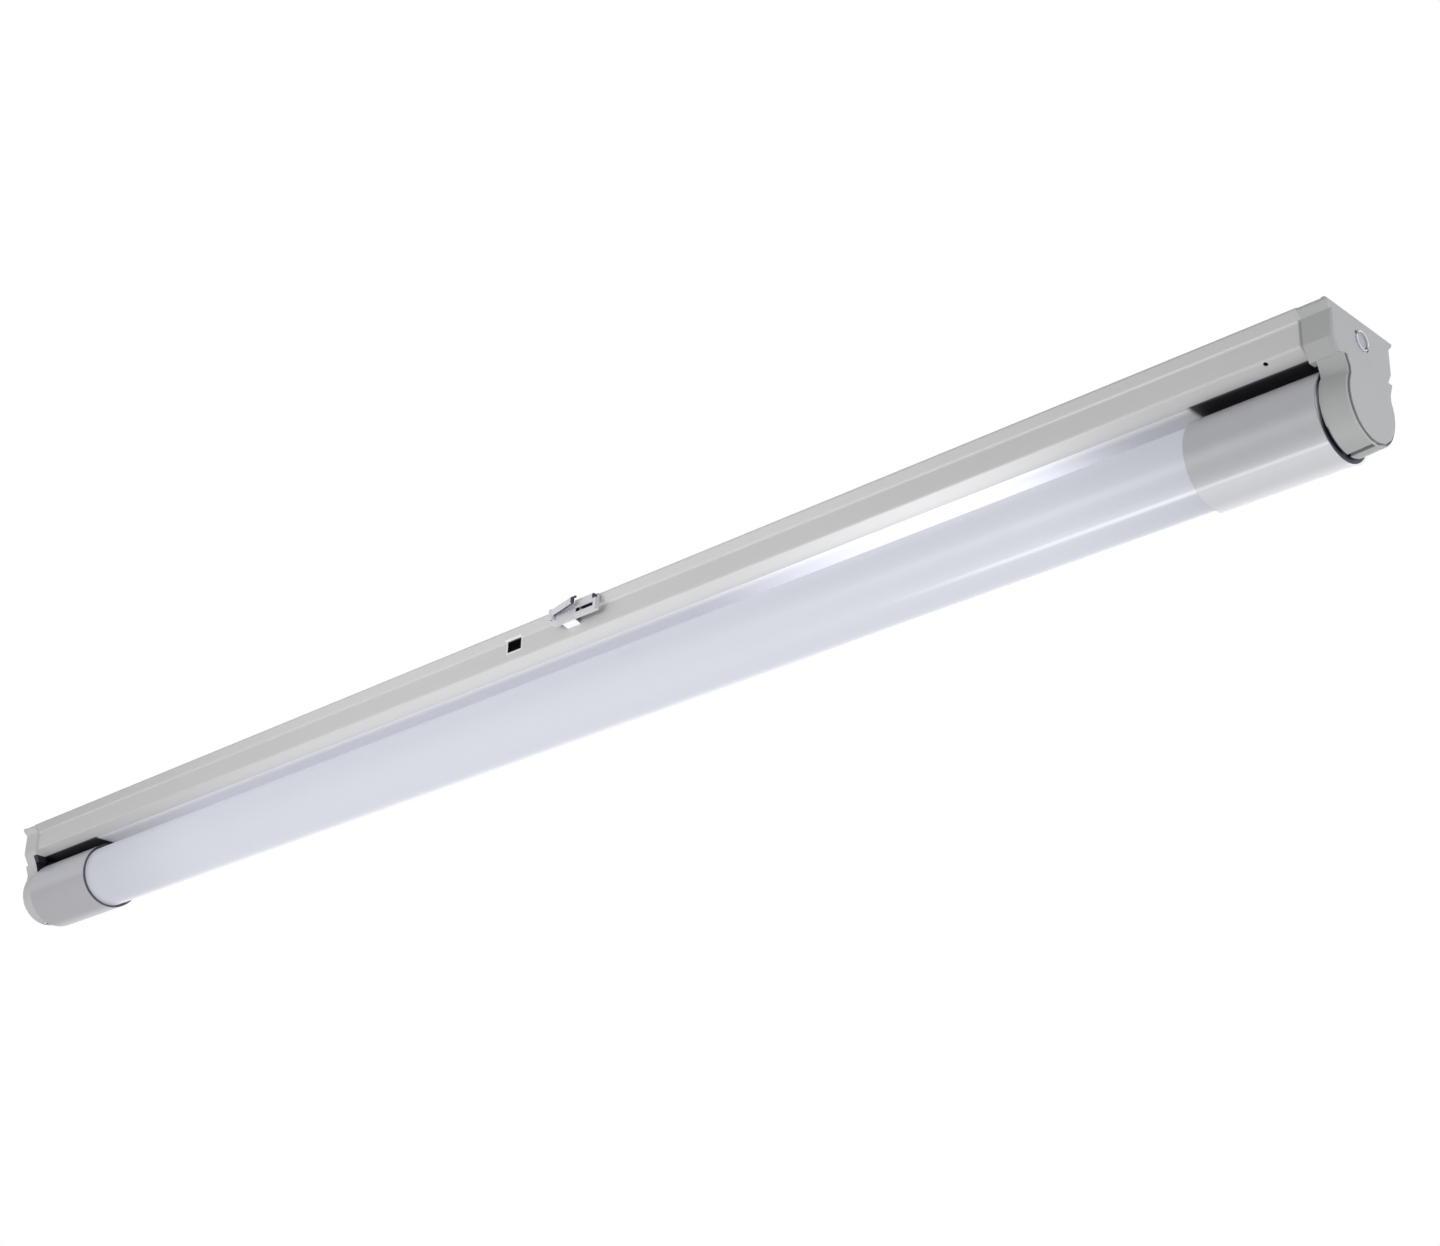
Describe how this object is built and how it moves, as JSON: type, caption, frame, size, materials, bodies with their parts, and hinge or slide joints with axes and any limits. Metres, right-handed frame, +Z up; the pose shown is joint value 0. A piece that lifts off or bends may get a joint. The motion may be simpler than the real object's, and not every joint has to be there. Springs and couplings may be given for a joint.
{
  "type": "ceiling tube light",
  "caption": "Slim white ceiling batten with moulded end caps, holding one glowing opal tube with grey sleeves.",
  "frame": {"origin": "middle of the flat top face that lies against the ceiling", "axes": "+X along the light towards its right-hand end, -Y towards the side with the latch, +Z up into the ceiling"},
  "size_m": [1.206, 0.071, 0.0758],
  "materials": {
    "white_steel": "semi-gloss white stove enamel",
    "zinc": "zinc plated",
    "cap_plastic": "fine-grained grey-white moulding",
    "sleeve_plastic": "fine-grained grey-white moulding",
    "rotor_plastic": "smooth white moulding",
    "cream_plastic": "smooth moulding",
    "black_plastic": "matt black",
    "rubber": "matt dark grey",
    "brass": "plain",
    "spring_steel": "bright rolled strip",
    "lead_red": "smooth insulation",
    "opal": "opal, lit from within",
    "aluminium": "extruded, satin",
    "board": "lacquered",
    "chip": "yellow phosphor"
  },
  "bodies": {
    "fixture": {"mounting_tray": "zinc", "spine": "white_steel", "cable_grommet": "rubber", "window_plate": "black_plastic", "terminal_block": "cream_plastic", "terminal_screws": "brass", "earth_tag": "brass", "earth_screw": "brass", "wires_left": "lead_red", "wires_right": "lead_red", "holder_screws": "zinc", "end_cap_left": "cap_plastic", "end_cap_right": "cap_plastic", "cable_plug_left": "cap_plastic", "cable_plug_right": "cap_plastic", "lampholder_left": "cap_plastic", "lampholder_right": "cap_plastic", "holder_cover_left": "cap_plastic", "holder_cover_right": "cap_plastic", "contacts_left": "brass", "contacts_right": "brass", "latch_plate": "spring_steel", "latch_pin": "zinc"},
    "lamp": {"diffuser_tube": "opal", "sleeve_left": "sleeve_plastic", "sleeve_right": "sleeve_plastic", "tube_seal_left": "rubber", "tube_seal_right": "rubber", "lamp_base_left": "rotor_plastic", "lamp_base_right": "rotor_plastic", "lamp_pins_left": "brass", "lamp_pins_right": "brass", "heat_sink_rail": "aluminium", "led_board": "board", "led_chips": "chip", "driver_board": "board", "driver_parts": "black_plastic", "pin_leads": "lead_red"},
    "rotor_a": {"rotor_left": "rotor_plastic"},
    "rotor_b": {"rotor_right": "rotor_plastic"},
    "lever": {"latch_lever": "spring_steel", "lever_buffer": "rubber"}
  },
  "joints": [
    {"name": "lamp_turn", "type": "hinge", "parent": "fixture", "child": "lamp", "pos_m": [0, 0, -0.0506], "axis": [1, 0, 0], "range_deg": [0, 90]},
    {"name": "rotor_a_turn", "type": "hinge", "parent": "fixture", "child": "rotor_a", "pos_m": [-0.589, 0, -0.0506], "axis": [1, 0, 0], "range_deg": [0, 90]},
    {"name": "rotor_b_turn", "type": "hinge", "parent": "fixture", "child": "rotor_b", "pos_m": [0.589, 0, -0.0506], "axis": [1, 0, 0], "range_deg": [0, 90]},
    {"name": "lever_turn", "type": "hinge", "parent": "fixture", "child": "lever", "pos_m": [0.0353, -0.0338, -0.0046], "axis": [0, 0, 1], "range_deg": [0, 6.5], "stiffness_Nm_per_rad": 0.05}
  ],
  "couplings": [
    {"joint": "rotor_a_turn", "follows": "lamp_turn", "ratio": 1},
    {"joint": "rotor_b_turn", "follows": "lamp_turn", "ratio": 1}
  ]
}
